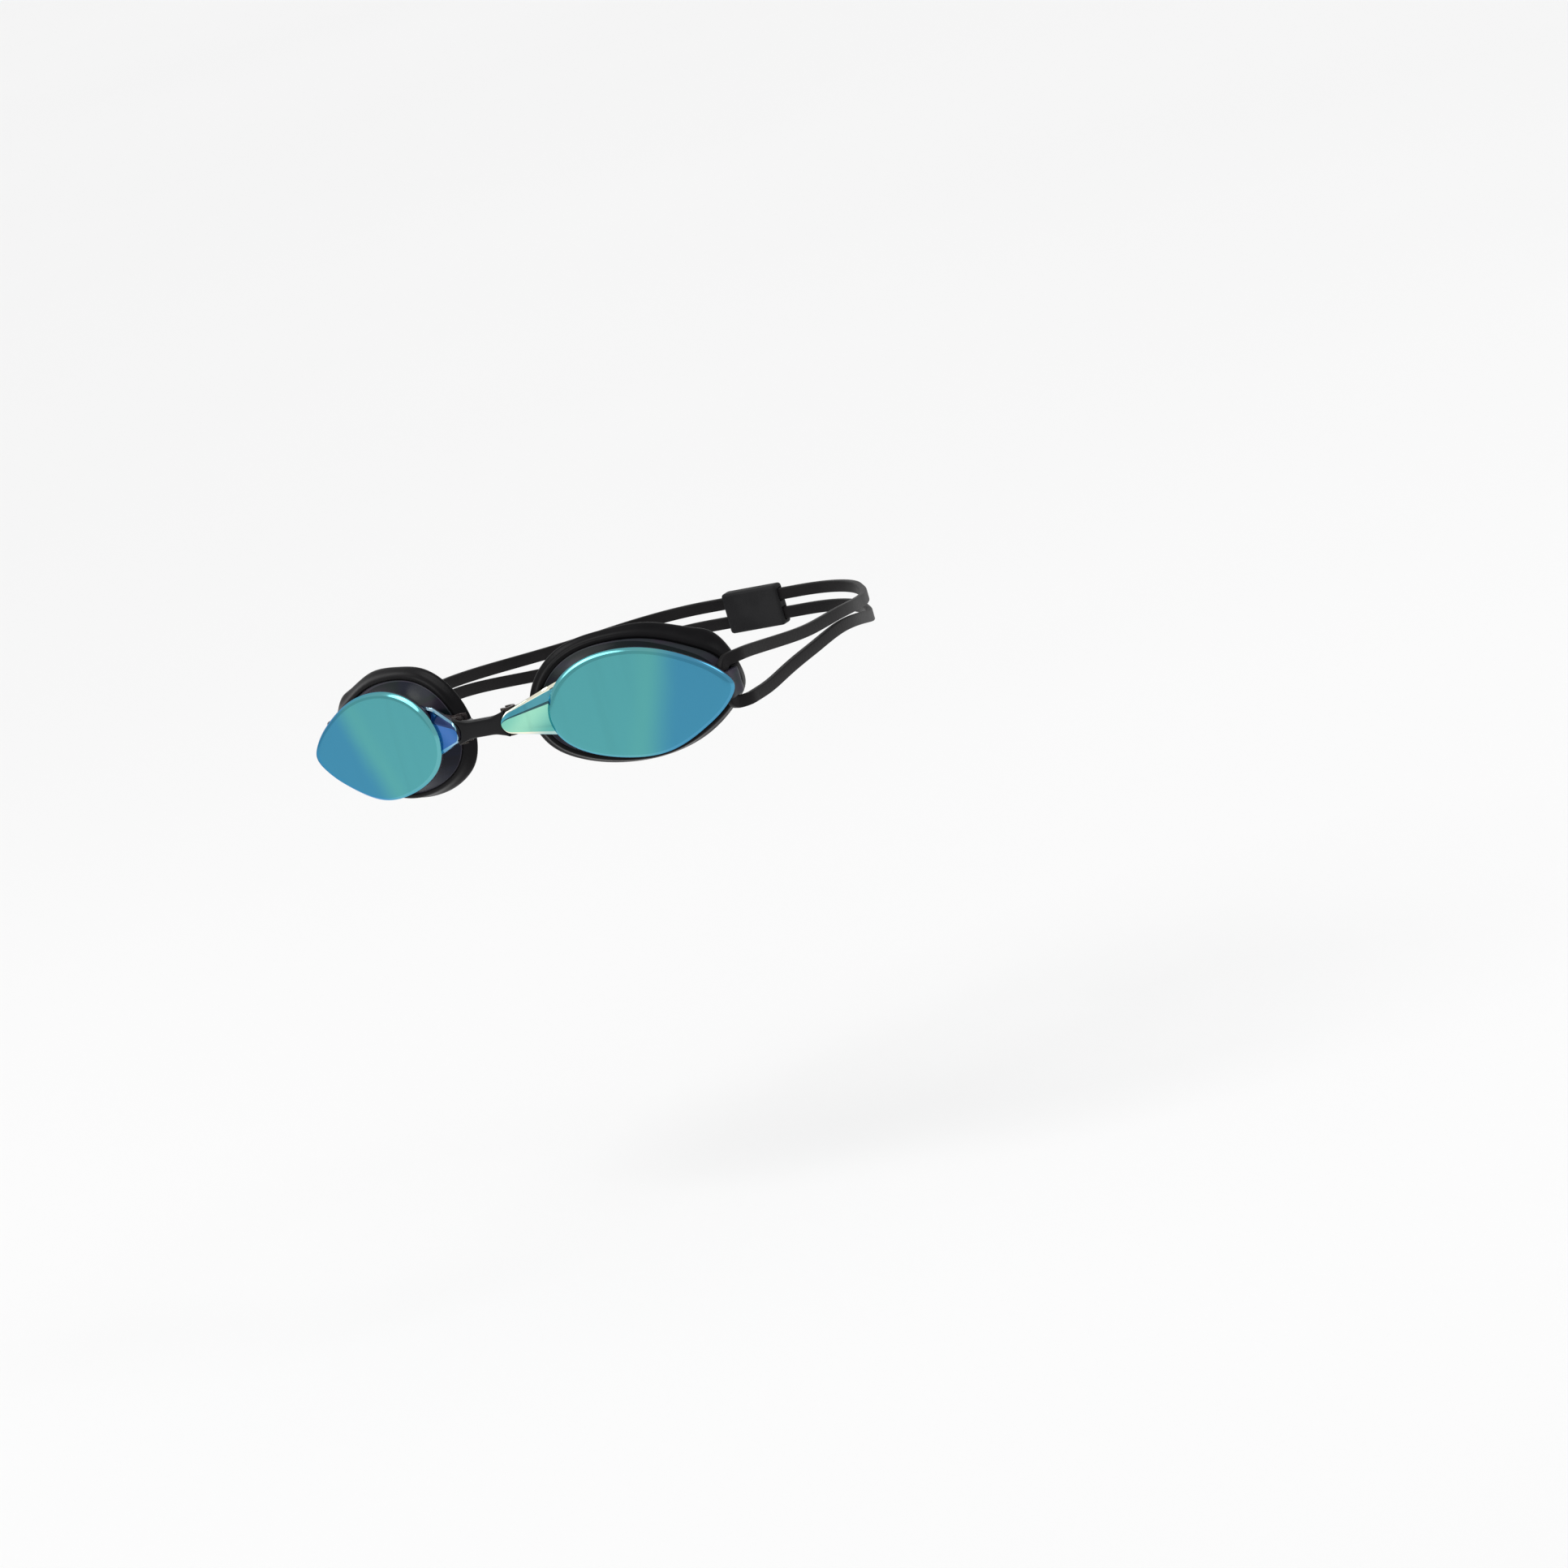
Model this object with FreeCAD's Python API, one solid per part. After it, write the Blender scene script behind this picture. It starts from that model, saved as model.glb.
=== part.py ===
import FreeCAD, Part
import math
import os

from FreeCAD import Placement, Rotation, Vector

# Swim goggles in their worn shape, in millimetres.
# Frame: +X to the wearer's left, +Y back into the head, +Z up.
# Origin: middle of the nose bridge's rear face, where it rests on the nose.

# Lens plates
plate_length = 57.4
plate_height = 33.7
plate_thickness = 2.2
plate_wrap = 16.3            # each plate turns back towards its temple by this angle
plate_drop = 3.2             # plate's middle below the bridge's middle
edge_inset = 0.9
edge_depth = 0.7

# Cup behind each plate
cup_depth = 9.2              # front face to the back of the flange, mid-length
flange_thickness = 1.4
wall_thickness = 1.7
cup_lean = 0.05              # slope of the flange's plane, deeper at the temple
# Growth from the plate's outline at the nose end, temple end, top and bottom, with a roundness.
wall_front = (-1.5, -7.5, -2.2, -2.2, 0.1)
wall_back = (2.8, -5.2, 0.6, -0.4, 0.3)
flange_grow = (4.4, 0.0, 2.3, 1.2, 0.3)

# Gasket
gasket_skirt_depth = 1.6     # flange's back to the widest part of the skirt
gasket_rim_depth = 3.0       # flange's back to the rim on the face
gasket_grow = (7.4, 0.6, 4.7, 2.7, 0.9)
gasket_lip = 0.8
gasket_rim_inset = 0.8
gasket_rim_width = 4.4

# Nose tab and bridge socket
tab_half_gap = 7.95          # mid-plane to each tab's tip
tab_forward = 3.5            # tab's tip in front of the bridge's rear face
tab_reach = 13.4             # beyond the plate's nose end
tab_angle = 33.0             # tab's face from the X axis, in plan
tab_thickness = 1.8
tab_tip_radius = 3.7
tab_rise = 3.2               # tab's middle above the plate's middle
tab_root_up = 8.0
tab_root_down = 8.7
tab_recess = 0.9             # tab's root behind the plate's front face

# Bridge and its pins
pin_radius = 1.1
pin_height = 7.2
pin_clearance = 0.05
pin_behind_tab = 3.75        # tab's front face to the pin's axis
pin_from_tip = 3.3           # tab's tip to the pin's axis, along the tab
socket_wall = 1.15
socket_height = 8.4
socket_mouth = 2.9           # width of the slot that the bridge's neck swings in
bridge_thickness = 2.6
bridge_height = 5.5
bridge_flare = 8.4
bridge_gap = 0.8             # bridge's hollow ends to the tab's tip
horn_thickness = 1.4
horn_reach = 2.0
socket_room = 0.35           # round the socket's barrel
neck_thickness = 1.3
neck_height = 5.0

# Head strap
band_width = 3.7
band_thickness = 2.0
loop_half_width = 70.9
loop_depth = 158.0           # plate's middle to the back of the loop
loop_side_share = 0.571      # of the run from the side corner to the back corner, rounded by the side arc
loop_back_radius = 38.0
edge_room = 0.4              # gasket's temple edge to the corner of the band's middle line
edge_depth_behind = 1.5      # that corner behind the cup's back
edge_radius = 6.0
strand_gap = 0.5             # between the strands where they lie together above the ear
turn_radius = 4.0            # of the band's middle, where it leaves the tunnel
turn_high = 4.7              # crown of the upper turn, from the plate's middle; turn_low is the lower one's
turn_low = -8.6
back_row_middle = -10.4      # height of the strands at the back, from the plate's middle
back_row_pitch = 6.2

# Strap tunnel at each temple
tunnel_inset = 3.5           # plate's temple end to the band's middle
tunnel_middle = -2.0
tunnel_splay = 5.0           # band's plane turned outwards from straight back
tunnel_leave = 2.6           # band's middle to where it turns out to the gasket's edge
tunnel_clearance = 0.3
post_thickness = 1.5
post_height = 8.0

# Back clip
clip_width = 20.0
clip_wall = 1.3
clip_clearance = 0.3
clip_rounding = 2.0
clip_window = 6.0

OUTLINE = (
    (-1.00, 0.05), (-0.86, 0.60), (-0.52, 0.94), (-0.15, 1.00), (0.27, 0.85), (0.67, 0.50),
    (0.93, 0.13), (1.00, -0.10), (0.91, -0.36), (0.60, -0.72), (0.14, -1.00), (-0.32, -0.93),
    (-0.68, -0.70), (-0.92, -0.36),
)


def closed_curve(points):
    curve = Part.BSplineCurve()
    curve.interpolate(Points=[Vector(u * plate_length / 2, 0, v * plate_height / 2) for u, v in points],
                      PeriodicFlag=True)
    return curve


ROUND = [(u, math.copysign(max(abs(v), math.sqrt(max(1 - u * u, 0))), v)) for u, v in OUTLINE]


def outline(depth, nose, temple, up, down, roundness):
    """The plate's outline at a depth, grown at its nose and temple ends and at its top and bottom.

    Roundness runs from 0, the plate's teardrop, to 1, filled out to an ellipse. Behind the plate the
    outline leans back towards the temple.
    """
    length_scale = 1 + (nose + temple) / plate_length
    lean = cup_lean * max(depth - plate_thickness, 0) / (cup_depth - plate_thickness)
    curve = closed_curve([(u, v + (full - v) * roundness) for (u, v), (_, full) in zip(OUTLINE, ROUND)])
    for index, pole in enumerate(curve.getPoles(), 1):
        u = (pole.x + plate_length / 2) * length_scale - plate_length / 2 - nose
        growth = up if pole.z > 0 else down
        curve.setPole(index, Vector(u, depth + lean * u, pole.z * (1 + 2 * growth / plate_height)))
    return Part.Wire([curve.toShape()])


def shifted(growth, amount):
    """The same growth changed by one amount all round; roundness stays."""
    return tuple(value + amount for value in growth[:4]) + growth[4:]


def stack(*sections):
    """A solid through outlines given by depth and growth, one straight stage at a time."""
    rims = [outline(*section) for section in sections]
    faces = [Part.makeRuledSurface(low.Edges[0], high.Edges[0]) for low, high in zip(rims, rims[1:])]
    faces += [Part.Face(rims[0]), Part.Face(rims[-1])]
    shell = Part.Shell(faces)
    shell.sewShape()
    solid = Part.Solid(shell)
    if solid.Volume < 0:
        solid.reverse()
    return solid


def slab(points, low, high):
    """A closed XY polygon, raised from one height to another."""
    corners = [Vector(x, y, low) for x, y in points]
    face = Part.Face(Part.makePolygon(corners + corners[:1]))
    return face.extrude(Vector(0, 0, high - low))


# The tab's line in the plate's own plan: from its root, forward and towards the nose.
TAB_TURN = math.radians(tab_angle - plate_wrap)
TAB_DIRECTION = Vector(-math.cos(TAB_TURN), -math.sin(TAB_TURN), 0)
TAB_BACK = Vector(-TAB_DIRECTION.y, TAB_DIRECTION.x, 0) * -1.0
TAB_ROOT = Vector(-plate_length / 2 + 1.0, tab_recess, 0)
TAB_TIP = TAB_ROOT + TAB_DIRECTION * ((tab_reach + 1.0) / math.cos(TAB_TURN))
PIN = TAB_TIP - TAB_DIRECTION * pin_from_tip + TAB_BACK * pin_behind_tab
SOCKET_RADIUS = pin_radius + pin_clearance + socket_wall

# The left plate's middle in the goggles' frame follows from where its tab's tip is.
WRAP = math.radians(plate_wrap)
PLATE_X = tab_half_gap - TAB_TIP.x * math.cos(WRAP) + TAB_TIP.y * math.sin(WRAP)
PLATE_Y = -tab_forward - TAB_TIP.x * math.sin(WRAP) - TAB_TIP.y * math.cos(WRAP)


def cup_to_frame(shape):
    """Moves a left-hand shape from the plate's own axes to the goggles' frame."""
    moved = shape.copy()
    turn = Rotation(Vector(0, 0, 1), plate_wrap)
    moved.Placement = Placement(Vector(PLATE_X, PLATE_Y, -plate_drop), turn)
    return moved


def in_frame(u, depth):
    """A point of the left plate's own plan, in the goggles' frame."""
    x = PLATE_X + u * math.cos(WRAP) - depth * math.sin(WRAP)
    y = PLATE_Y + u * math.sin(WRAP) + depth * math.cos(WRAP)
    return Vector(x, y, 0)


def mirrored(shape):
    return shape.mirror(Vector(0, 0, 0), Vector(1, 0, 0))


def tab():
    inner = TAB_ROOT - TAB_DIRECTION * 4.0
    plan = [inner, TAB_TIP, TAB_TIP + TAB_BACK * tab_thickness, inner + TAB_BACK * tab_thickness]
    sheet = slab([(p.x, p.y) for p in plan], -plate_height, plate_height)
    root_u = -plate_length / 2 + 5.0
    tip_u = TAB_TIP.x + tab_tip_radius
    blank = Part.makeCylinder(tab_tip_radius, 60, Vector(tip_u, -30, tab_rise), Vector(0, 1, 0))
    top = Vector(root_u, -30, tab_rise + tab_root_up)
    low = Vector(root_u, -30, tab_rise - tab_root_down)
    centre = Vector(tip_u, -30, tab_rise)
    wedge = [top]
    for corner, side in ((top, 1), (low, -1)):
        span = corner - centre
        lean = math.acos(tab_tip_radius / span.Length)
        angle = math.atan2(span.z, span.x) + side * lean
        touch = centre + Vector(math.cos(angle), 0, math.sin(angle)) * tab_tip_radius
        wedge.append(touch)
    wedge.append(low)
    front = Part.Face(Part.makePolygon(wedge + wedge[:1])).extrude(Vector(0, 60, 0))
    return sheet.common(front.fuse(blank))


def socket():
    """The C-shaped hook behind the tab that the bridge's pin snaps into."""
    radius = SOCKET_RADIUS
    low = tab_rise - socket_height / 2
    barrel = Part.makeCylinder(radius, socket_height, Vector(PIN.x, PIN.y, low))
    web_end = Vector(-plate_length / 2 + 3.5, 5.0, 0)
    across = (web_end - PIN).normalize()
    side = Vector(-across.y, across.x, 0) * 0.8
    web = slab([(p.x, p.y) for p in (PIN + side, web_end + side, web_end - side, PIN - side)],
               low, low + socket_height)
    tie = slab([(p.x, p.y) for p in (PIN - TAB_DIRECTION * radius,
                                     PIN - TAB_DIRECTION * 0.2,
                                     PIN - TAB_DIRECTION * 0.2 - TAB_BACK * (pin_behind_tab - 0.5),
                                     PIN - TAB_DIRECTION * radius - TAB_BACK * (pin_behind_tab - 0.5))],
               low, low + socket_height)
    return barrel.fuse(web).fuse(tie)


def socket_bore():
    low = tab_rise - socket_height
    bore = Part.makeCylinder(pin_radius + pin_clearance, 2 * socket_height, Vector(PIN.x, PIN.y, low))
    across = Vector(-math.cos(WRAP), math.sin(WRAP), 0)
    side = Vector(-across.y, across.x, 0) * (socket_mouth / 2)
    far = PIN + across * 8
    mouth = slab([(p.x, p.y) for p in (PIN + side, far + side, far - side, PIN - side)],
                 low, low + 2 * socket_height)
    return bore.fuse(mouth)


TUNNEL = in_frame(plate_length / 2 - tunnel_inset, (plate_thickness + cup_depth - flange_thickness) / 2)
ALONG = Vector(math.sin(math.radians(tunnel_splay)), math.cos(math.radians(tunnel_splay)), 0)


def tunnel_box(across_low, across_high, low, high, reach):
    """A box that lies along the band in the tunnel, in the goggles' frame."""
    out = Vector(ALONG.y, -ALONG.x, 0)
    corners = []
    for a, b in ((-reach, across_low), (reach, across_low), (reach, across_high), (-reach, across_high)):
        corners.append(TUNNEL + ALONG * a + out * b)
    return slab([(p.x, p.y) for p in corners], low - plate_drop, high - plate_drop)


# Plan of the left half of the band's loop: corners, and the radius at each corner between the two ends.
BACK_Y = PLATE_Y + loop_depth
EDGE = in_frame(plate_length / 2 + gasket_grow[1] + edge_room, cup_depth + edge_depth_behind)
LOOP = (
    TUNNEL - ALONG * band_width,
    TUNNEL + ALONG * tunnel_leave,
    EDGE,
    Vector(loop_half_width, PLATE_Y + loop_depth * 0.69, 0),
    Vector(loop_half_width * 0.51, BACK_Y, 0),
    Vector(0, BACK_Y, 0),
)
SIDE_RUN = LOOP[4] - LOOP[3]
SIDE_TURN = (LOOP[3] - LOOP[2]).getAngle(SIDE_RUN)
SIDE_RADIUS = loop_side_share * SIDE_RUN.Length / math.tan(SIDE_TURN / 2)
LOOP_RADII = (3.5, edge_radius, SIDE_RADIUS, loop_back_radius)


def right_of(start, end):
    """The unit vector to the right of a line in plan: outwards, round the loop."""
    way = (end - start).normalize()
    return Vector(way.y, -way.x, 0)


def loop_side(offset):
    """The loop's plan moved outwards by an offset: its first point, its last point and its edges."""
    first = LOOP[0] + right_of(LOOP[0], LOOP[1]) * offset
    last = LOOP[-1] + right_of(LOOP[-2], LOOP[-1]) * offset
    edges = []
    start = first
    for before, corner, after, radius in zip(LOOP, LOOP[1:], LOOP[2:], LOOP_RADII):
        way_in = (corner - before).normalize()
        way_out = (after - corner).normalize()
        out_in = right_of(before, corner)
        out_out = right_of(corner, after)
        turn = math.copysign(way_in.getAngle(way_out), way_in.cross(way_out).z)
        reach = radius * math.tan(abs(turn) / 2)
        signed_radius = math.copysign(radius, turn)
        centre = corner - way_in * reach - out_in * signed_radius
        begin = centre + out_in * (signed_radius + offset)
        middle = centre + (out_in + out_out).normalize() * (signed_radius + offset)
        end = centre + out_out * (signed_radius + offset)
        edges += [Part.makeLine(start, begin), Part.Arc(begin, middle, end).toShape()]
        start = end
    edges.append(Part.makeLine(start, last))
    return first, last, edges


def loop_face(offset_out, offset_in):
    """Plan of the band's wall, from the tunnel round to the middle of the back."""
    first_out, last_out, outer = loop_side(offset_out)
    first_in, last_in, inner = loop_side(offset_in)
    edges = outer + [Part.makeLine(last_out, last_in)] + inner + [Part.makeLine(first_in, first_out)]
    return Part.Face(Part.Wire(Part.__sortEdges__(edges)))


def strap_notches():
    """Room for both strands where they pass the temple edge of the flange and gasket."""
    inwards = band_thickness / 2 + 2 * tunnel_clearance
    line = [TUNNEL - right_of(LOOP[0], LOOP[1]) * inwards]
    for before, corner, after in zip(LOOP, LOOP[1:3], LOOP[2:4]):
        out = (right_of(before, corner) + right_of(corner, after)).normalize()
        line.append(corner - out * (inwards / out.dot(right_of(corner, after))))
    line.append(line[-1] + (LOOP[3] - LOOP[2]).normalize() * 20)
    plan = [(p.x, p.y) for p in line] + [(EDGE.x + 20, line[-1].y), (EDGE.x + 20, line[0].y)]
    room = band_width / 2 + tunnel_clearance
    upper = slab(plan, turn_high - 1.5 - room - plate_drop, turn_high + room - plate_drop)
    lower = slab(plan, turn_low - room - plate_drop, turn_low + 0.8 + room - plate_drop)
    return upper.fuse(lower)


def left_lens():
    level = (0.0, 0.0, 0.0, 0.0, 0.0)
    plate = stack((0, *shifted(level, -edge_inset)), (edge_depth, *level), (plate_thickness, *level))
    flange_front = cup_depth - flange_thickness
    wall = stack((plate_thickness - 0.2, *wall_front), (flange_front, *wall_back), (cup_depth, *wall_back))
    flange = stack((flange_front, *flange_grow), (cup_depth, *flange_grow))
    inner_front = shifted(wall_front, -wall_thickness)
    inner_back = shifted(wall_back, -wall_thickness)
    hollow = stack((plate_thickness, *inner_front), (flange_front, *inner_back), (cup_depth + 1, *inner_back))
    body = plate.fuse(wall).fuse(flange).fuse(tab()).fuse(socket())
    body = body.cut(hollow).cut(socket_bore())
    half = band_thickness / 2 + tunnel_clearance
    post = tunnel_box(half, half + post_thickness,
                      tunnel_middle - post_height / 2, tunnel_middle + post_height / 2, 6)
    inside = stack((plate_thickness - 0.4, *shifted(level, -0.3)), (flange_front + 0.4, *flange_grow))
    body = cup_to_frame(body).fuse(post.common(cup_to_frame(inside)))
    slot = tunnel_box(-half, half, -plate_height, plate_height, band_width / 2 + tunnel_clearance)
    return body.cut(slot).cut(strap_notches())


def left_gasket():
    front = cup_depth - flange_thickness + 0.2
    skirt = cup_depth + gasket_skirt_depth
    rim = cup_depth + gasket_rim_depth
    rim_grow = shifted(gasket_grow, -gasket_rim_inset)
    outside = stack((front, *shifted(flange_grow, gasket_lip)), (skirt, *gasket_grow), (rim, *rim_grow))
    pocket = stack((front - 1, *flange_grow), (cup_depth, *flange_grow))
    seat = shifted(wall_back, -wall_thickness)
    rim_inside = shifted(rim_grow, -gasket_rim_width)
    opening = stack((cup_depth - 0.5, *seat), (cup_depth, *seat), (rim, *rim_inside), (rim + 1, *rim_inside))
    body = cup_to_frame(outside.cut(pocket).cut(opening))
    return body.cut(strap_notches())


def nose_bridge():
    tip = in_frame(TAB_TIP.x, TAB_TIP.y)
    pin = in_frame(PIN.x, PIN.y)
    end_x = tip.x - bridge_gap
    front_y = -bridge_thickness
    horn_x = end_x + horn_reach
    body_x = pin.x - SOCKET_RADIUS - socket_room
    neck_front = pin.y - neck_thickness / 2
    neck_back = pin.y + neck_thickness / 2
    plan = [(0, front_y), (horn_x, front_y), (horn_x, front_y + horn_thickness),
            (body_x, front_y + horn_thickness), (body_x, neck_front), (pin.x, neck_front), (pin.x, neck_back),
            (body_x - 1.2, neck_back), (body_x - 3.5, 0), (0, 0)]
    sheet = slab(plan, -20, 20)
    half = bridge_height / 2
    flare = bridge_flare / 2
    upper = [Vector(0, -20, half), Vector(end_x * 0.45, -20, half), Vector(horn_x, -20, flare),
             Vector(horn_x, -20, neck_height / 2), Vector(pin.x, -20, neck_height / 2)]
    lower = [Vector(p.x, p.y, -p.z) for p in reversed(upper)]
    front = Part.Face(Part.makePolygon(upper + lower + upper[:1])).extrude(Vector(0, 40, 0))
    half_band = sheet.common(front)
    hollow = Part.makeCylinder(tab_tip_radius + bridge_gap, horn_thickness + 5,
                               Vector(tip.x + tab_tip_radius, front_y - 5, 0), Vector(0, 1, 0))
    peg = Part.makeCylinder(pin_radius, pin_height, Vector(pin.x, pin.y, -pin_height / 2))
    half_band = half_band.cut(hollow).fuse(peg)
    return half_band.fuse(mirrored(half_band)).removeSplitter()


# Side view of each strand behind its turn: distance behind the tunnel, height from the plate's middle.
side_pitch = band_width + strand_gap
UPPER_LINE = (
    (9, 4.6), (18, 3.5), (35, 1.1), (53, -0.9), (70, -3.7 + side_pitch / 2), (80, -4.4 + side_pitch / 2),
)
LOWER_LINE = (
    (9, -8.8), (19, -8.8), (29, -8.0), (39, -7.2), (54, -6.4), (70, -3.7 - side_pitch / 2),
    (80, -4.4 - side_pitch / 2),
)


def strand(way, crown, line):
    """One strand: up (way 1) or down (way -1) the tunnel, round a turn and back to its row at the back."""
    foot_z = tunnel_middle - plate_drop
    bend = Vector(0, TUNNEL.y + turn_radius, crown - way * turn_radius - plate_drop)

    def at(radius, sweep):
        return bend + Vector(0, -math.cos(sweep), way * math.sin(sweep)) * radius

    back_row = back_row_middle + way * back_row_pitch / 2
    points = [at(turn_radius, math.pi / 2), at(turn_radius, math.pi / 2) + Vector(0, 1, 0)]
    points += [Vector(0, TUNNEL.y + y, z - plate_drop) for y, z in line]
    points += [Vector(0, BACK_Y - y, back_row - plate_drop) for y in (30, 22, 14)]
    centre = Part.BSplineCurve()
    centre.interpolate(Points=points)
    edges = []
    ends = []
    for side in (1, -1):
        radius = turn_radius + side * band_width / 2
        foot = Vector(0, bend.y - radius, foot_z)
        rim = [at(radius, math.pi / 2)]
        for index in range(1, 41):
            t = centre.FirstParameter + (centre.LastParameter - centre.FirstParameter) * index / 40
            along = centre.tangent(t)[0]
            rim.append(centre.value(t) + Vector(0, -along.z, along.y) * (way * side * band_width / 2))
        edge = Part.BSplineCurve()
        edge.interpolate(Points=rim)
        last = rim[-1] + Vector(0, 20, 0)
        edges += [Part.makeLine(foot, at(radius, 0)),
                  Part.Arc(at(radius, 0), at(radius, math.pi / 4), rim[0]).toShape(),
                  edge.toShape(), Part.makeLine(rim[-1], last)]
        ends += [foot, last]
    edges += [Part.makeLine(ends[0], ends[2]), Part.makeLine(ends[1], ends[3])]
    ribbon = Part.Face(Part.Wire(Part.__sortEdges__(edges))).extrude(Vector(120, 0, 0))
    wall = loop_face(band_thickness / 2, -band_thickness / 2)
    wall.translate(Vector(0, 0, -60))
    return wall.extrude(Vector(0, 0, 120)).common(ribbon)


def head_strap():
    half = strand(1, turn_high, UPPER_LINE).fuse(strand(-1, turn_low, LOWER_LINE))
    return half.fuse(mirrored(half)).removeSplitter()


def strap_clip():
    middle_y = BACK_Y
    upper = back_row_middle + back_row_pitch / 2 - plate_drop
    lower = back_row_middle - back_row_pitch / 2 - plate_drop
    row_height = band_width + 2 * clip_clearance
    row_depth = band_thickness + 2 * clip_clearance
    height = upper - lower + row_height + 2 * clip_wall
    depth = row_depth + 2 * clip_wall
    corner = Vector(-clip_width / 2, middle_y - depth / 2, (upper + lower) / 2 - height / 2)
    block = Part.makeBox(clip_width, depth, height, corner)
    upright = [edge for edge in block.Edges if abs(edge.tangentAt(0).y) > 0.9]
    block = block.makeFillet(clip_rounding, upright)
    for row in (upper, lower):
        channel = Part.makeBox(clip_width + 2, row_depth, row_height,
                               Vector(-clip_width / 2 - 1, middle_y - row_depth / 2, row - row_height / 2))
        block = block.cut(channel)
        for side in (-1, 1):
            across = side * (clip_width / 4 - 0.2)
            window = Part.makeBox(clip_window, depth, row_height - 1.6,
                                  Vector(across - clip_window / 2, middle_y, row - row_height / 2 + 0.8))
            block = block.cut(window)
    return block


def write(name, shape):
    shape.exportStep(os.path.join("parts", name + ".step"))
    box = shape.BoundBox
    print(name, "solids", len(shape.Solids), "volume", round(shape.Volume, 1), "valid", shape.isValid(),
          "box", [round(v, 1) for v in (box.XMin, box.YMin, box.ZMin, box.XMax, box.YMax, box.ZMax)])


os.makedirs("parts", exist_ok=True)
lens = left_lens()
gasket = left_gasket()
write("left_lens", lens)
write("right_lens", mirrored(lens))
write("left_gasket", gasket)
write("right_gasket", mirrored(gasket))
write("nose_bridge", nose_bridge())
write("head_strap", head_strap())
write("strap_clip", strap_clip())
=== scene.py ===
import bpy
import bmesh
import math
import numpy as np
from mathutils import Matrix, Vector


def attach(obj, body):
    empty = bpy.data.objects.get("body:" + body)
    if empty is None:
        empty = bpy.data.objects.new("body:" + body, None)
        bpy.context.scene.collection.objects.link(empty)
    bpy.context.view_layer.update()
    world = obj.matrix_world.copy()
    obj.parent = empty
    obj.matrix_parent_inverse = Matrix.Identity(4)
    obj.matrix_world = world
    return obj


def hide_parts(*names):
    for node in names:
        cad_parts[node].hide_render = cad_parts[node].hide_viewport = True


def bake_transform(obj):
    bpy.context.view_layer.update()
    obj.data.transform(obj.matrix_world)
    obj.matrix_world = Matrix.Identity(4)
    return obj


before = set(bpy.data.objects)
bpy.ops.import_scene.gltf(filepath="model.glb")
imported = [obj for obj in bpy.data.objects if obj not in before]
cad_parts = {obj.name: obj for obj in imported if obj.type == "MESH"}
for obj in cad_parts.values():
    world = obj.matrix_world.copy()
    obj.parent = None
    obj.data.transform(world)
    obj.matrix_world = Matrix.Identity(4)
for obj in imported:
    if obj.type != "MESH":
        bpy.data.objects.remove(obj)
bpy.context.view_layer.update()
print("frame loaded")

cameraView = {
    "place": (1.2178, -1.8704, 0.3958),
    "right": (0.8510, 0.4490, -0.2725),
    "up": (0.1427, 0.3016, 0.9427),
    "forward": (-0.5054, 0.8411, -0.1926),
    "lens": 175.5,
}
studio = {
    "floorHeight": -0.16,
    "floorSize": 40.0,
    "floorShade": (0.90, 0.90, 0.90),
    "sky": 0.72,
    "sun": ((-0.45, -0.55, 0.95), 1.15, 45),     # towards it, strength, angle across
    # place, size, watts, shade
    "lamps": (
        ((-0.7, -0.5, 1.3), 0.5, 1.2, (1.0, 0.99, 0.97)),
        ((0.9, 0.5, 1.2), 0.5, 1.2, (0.97, 0.98, 1.0)),
    ),
}


def addCamera(c):
    data = bpy.data.cameras.new("goggleCamera")
    data.lens = c["lens"]
    data.sensor_width = 36
    data.clip_start = 0.05
    data.clip_end = 40
    camera = bpy.data.objects.new("goggleCamera", data)
    bpy.context.collection.objects.link(camera)
    back = -Vector(c["forward"])
    camera.matrix_world = Matrix((c["right"], c["up"], back)).transposed().to_4x4()
    camera.location = c["place"]
    bpy.context.scene.camera = camera


def addLamps(c):
    for number, (place, size, watts, shade) in enumerate(c["lamps"]):
        data = bpy.data.lights.new("softbox%d" % number, "AREA")
        data.shape = "DISK"
        data.size = size
        data.energy = watts
        data.color = shade
        lamp = bpy.data.objects.new("softbox%d" % number, data)
        bpy.context.collection.objects.link(lamp)
        lamp.location = place
        lamp.rotation_euler = (-Vector(place)).to_track_quat("-Z", "Y").to_euler()
    towards, strength, across = c["sun"]
    data = bpy.data.lights.new("softSun", "SUN")
    data.energy = strength
    data.angle = math.radians(across)
    sun = bpy.data.objects.new("softSun", data)
    bpy.context.collection.objects.link(sun)
    sun.rotation_euler = (-Vector(towards)).to_track_quat("-Z", "Y").to_euler()
    world = bpy.data.worlds.new("studioSky")
    bpy.context.scene.world = world
    world.use_nodes = True
    world.node_tree.nodes["Background"].inputs["Color"].default_value = (1, 1, 1, 1)
    world.node_tree.nodes["Background"].inputs["Strength"].default_value = c["sky"]


addCamera(cameraView)
addLamps(studio)
bpy.context.scene.view_settings.view_transform = "Standard"
print("camera and lamps set")


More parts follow.
